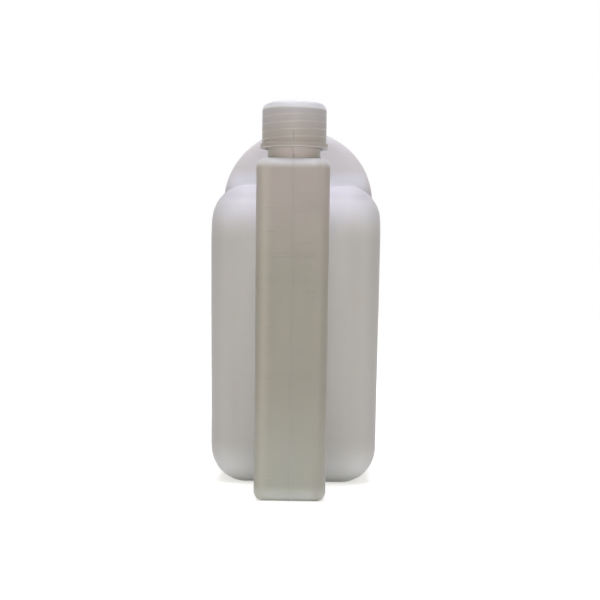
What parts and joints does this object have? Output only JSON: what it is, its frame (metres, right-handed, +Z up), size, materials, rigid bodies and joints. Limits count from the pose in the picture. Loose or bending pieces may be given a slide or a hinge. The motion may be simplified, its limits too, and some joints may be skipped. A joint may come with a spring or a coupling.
{
  "type": "fuel mixing bottle",
  "caption": "Blow-moulded fuel mixing bottle with a main chamber, a narrow measuring column beside it, a finger gap between them and a screw cap on each neck.",
  "frame": {"origin": "middle of the footprint of the whole bottle, on the surface that it stands on", "axes": "+Z up, +Y from the measuring column to the far end of the main chamber, X across the mould's parting plane"},
  "size_m": [0.0872, 0.178, 0.2015],
  "materials": {
    "bottle": "milky natural polyethylene, satin",
    "cap": "translucent natural polyethylene, satin",
    "liner": "white foamed polyethylene"
  },
  "bodies": {
    "bottle": {"bottle": "bottle"},
    "column_cap_liner": {"column_cap_liner": "liner"},
    "column_cap": {"column_cap": "cap"},
    "main_cap_liner": {"main_cap_liner": "liner"},
    "main_cap": {"main_cap": "cap"}
  },
  "joints": [
    {"name": "column_cap_lift", "type": "slide", "parent": "bottle", "child": "column_cap_liner", "axis": [0, 0, 1], "range_m": [0, 0.02363]},
    {"name": "column_cap_turn", "type": "hinge", "parent": "column_cap_liner", "child": "column_cap", "pos_m": [0, -0.072, 0.1757], "axis": [0, 0, 1], "range_deg": [0, 2430]},
    {"name": "main_cap_lift", "type": "slide", "parent": "bottle", "child": "main_cap_liner", "axis": [0, 0, 1], "range_m": [0, 0.01488]},
    {"name": "main_cap_turn", "type": "hinge", "parent": "main_cap_liner", "child": "main_cap", "pos_m": [0, 0.063, 0.1942], "axis": [0, 0, 1], "range_deg": [0, 1530]}
  ],
  "couplings": [
    {"joint": "column_cap_lift", "follows": "column_cap_turn", "m_per_rad": 0.00055704},
    {"joint": "main_cap_lift", "follows": "main_cap_turn", "m_per_rad": 0.00055704}
  ]
}
